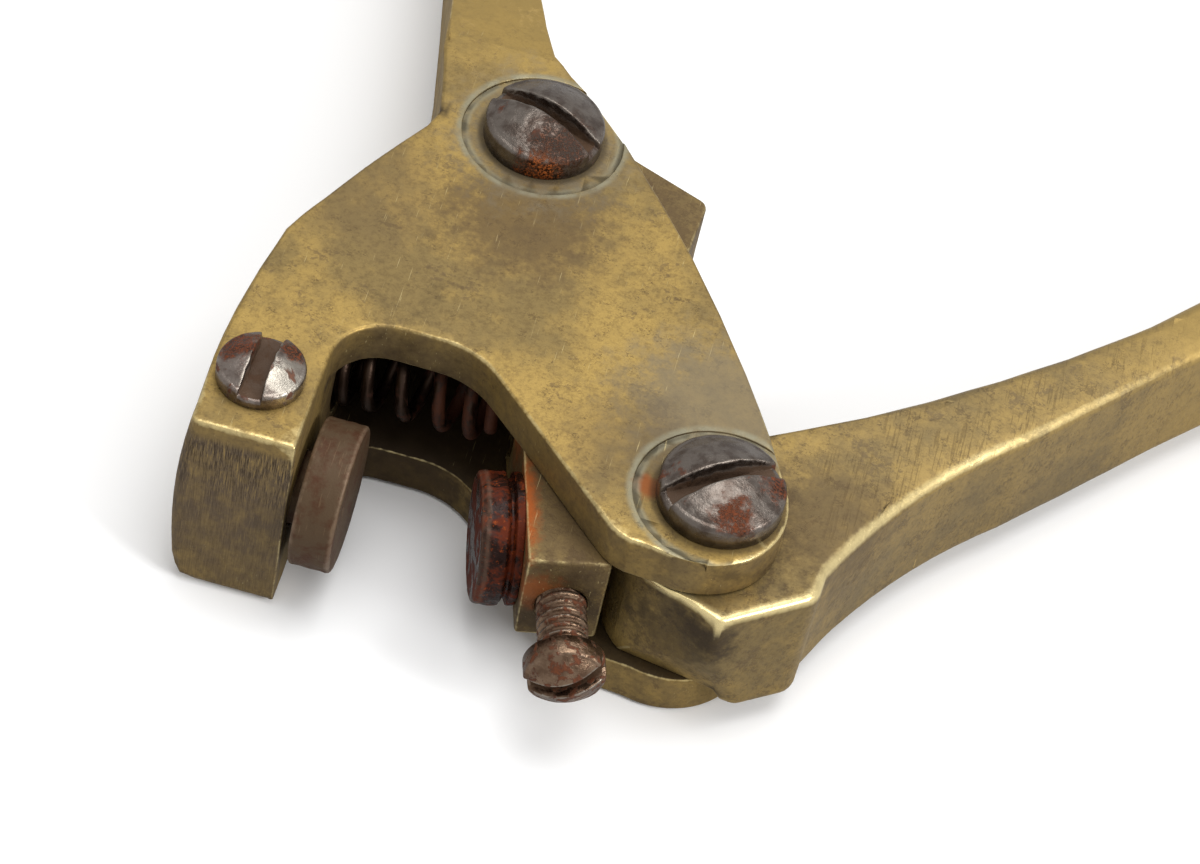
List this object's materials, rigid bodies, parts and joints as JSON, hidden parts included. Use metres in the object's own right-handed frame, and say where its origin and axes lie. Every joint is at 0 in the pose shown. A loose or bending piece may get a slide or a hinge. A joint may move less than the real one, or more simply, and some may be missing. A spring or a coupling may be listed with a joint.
{
  "type": "lead seal pliers",
  "caption": "Hand pliers that squeeze a lead seal between two round dies: slotted brass head, sprung swing jaw and cam lever.",
  "frame": {"origin": "centre of the closed die nip, half way through the thickness of the head", "axes": "+X from the fixed die to the swing jaw along the squeeze, +Y from the dies to the handles, +Z square to the cheeks, out of the side with the screw heads"},
  "size_m": [0.133, 0.1619, 0.022],
  "materials": {
    "brass_casting": "old cast brass, olive brown patina, bright worn edges",
    "browned_steel": "browned steel, satin",
    "rusted_steel": "rusted steel with a dark worn rim",
    "screw_steel": "tarnished steel with rust spots",
    "spring_steel": "spring wire with rust"
  },
  "bodies": {
    "frame": {"frame": "brass_casting", "fixed_die": "browned_steel", "fixed_die_screw": "screw_steel", "jaw_pivot_screw": "screw_steel", "lever_pivot_screw": "screw_steel", "return_spring": "spring_steel"},
    "swing_jaw": {"swing_jaw": "brass_casting", "moving_die": "rusted_steel", "moving_die_screw": "screw_steel"},
    "lever": {"lever": "brass_casting"}
  },
  "joints": [
    {"name": "lever_hinge", "type": "hinge", "parent": "frame", "child": "lever", "pos_m": [0.0278, 0.0023, 0], "axis": [0, 0, 1], "range_deg": [0, 50]},
    {"name": "jaw_hinge", "type": "hinge", "parent": "frame", "child": "swing_jaw", "pos_m": [0.0058, 0.0358, 0], "axis": [0, 0, 1], "range_deg": [-15.5, 0], "deforming": ["return_spring"]}
  ],
  "couplings": [
    {"joint": "jaw_hinge", "follows": "lever_hinge", "ratio": -0.31}
  ]
}
